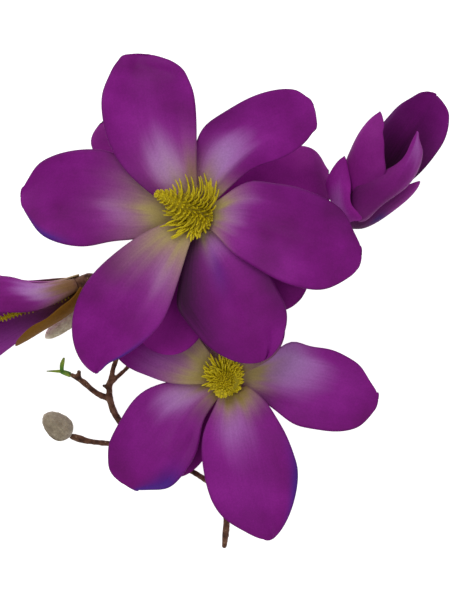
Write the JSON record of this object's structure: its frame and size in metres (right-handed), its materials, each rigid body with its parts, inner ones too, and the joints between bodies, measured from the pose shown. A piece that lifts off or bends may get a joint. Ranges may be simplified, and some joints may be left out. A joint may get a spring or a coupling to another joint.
{
  "type": "magnolia branch",
  "caption": "Cut magnolia branch lying on a surface, with broad purple open blooms facing up, an opening bud, a half-open side bloom, fuzzy winter buds and a small leaf shoot.",
  "frame": {"origin": "centre of the bounding box in plan, on the surface that the branch lies on", "axes": "+X to the right and +Y up in the picture's picture, which looks down on the branch; +Z up, out of the open blooms"},
  "size_m": [0.2581, 0.2508, 0.0627],
  "materials": {
    "tepal_purple": "satin",
    "outer_tepal_purple": "satin",
    "centre_olive_yellow": "matte",
    "bark_brown": "matte",
    "bud_fur": "matte",
    "leaf_green": "satin"
  },
  "bodies": {
    "root": {"upper_tepal_top": "tepal_purple", "upper_tepal_right": "tepal_purple", "upper_tepal_low_left": "tepal_purple", "upper_tepal_high_right": "tepal_purple", "upper_tepal_low": "tepal_purple", "upper_tepal_left": "tepal_purple", "lower_tepal_high_left": "tepal_purple", "lower_tepal_low": "tepal_purple", "lower_tepal_high": "tepal_purple", "lower_tepal_low_left": "tepal_purple", "lower_tepal_right": "tepal_purple", "lower_tepal_back": "tepal_purple", "bud_tepal_back": "tepal_purple", "bud_tepal_left": "tepal_purple", "bud_tepal_front": "tepal_purple", "side_tepal_high": "tepal_purple", "side_tepal_low": "tepal_purple", "side_tepal_under": "tepal_purple", "upper_outer_high_left": "outer_tepal_purple", "upper_outer_right": "outer_tepal_purple", "upper_outer_low_right": "outer_tepal_purple", "upper_outer_low": "outer_tepal_purple", "lower_outer_low_left": "outer_tepal_purple", "lower_outer_right": "outer_tepal_purple", "lower_outer_high_left": "outer_tepal_purple", "bud_outer_left": "outer_tepal_purple", "bud_outer_right": "outer_tepal_purple", "bud_outer_under": "outer_tepal_purple", "side_outer_high": "outer_tepal_purple", "side_outer_low": "outer_tepal_purple", "side_outer_front": "outer_tepal_purple", "upper_centre": "centre_olive_yellow", "lower_centre": "centre_olive_yellow", "bud_centre": "centre_olive_yellow", "side_centre": "centre_olive_yellow", "branch_wood": "bark_brown", "fuzzy_bud_round": "bud_fur", "fuzzy_bud_slim": "bud_fur", "leaf_shoot": "leaf_green"}
  },
  "joints": []
}
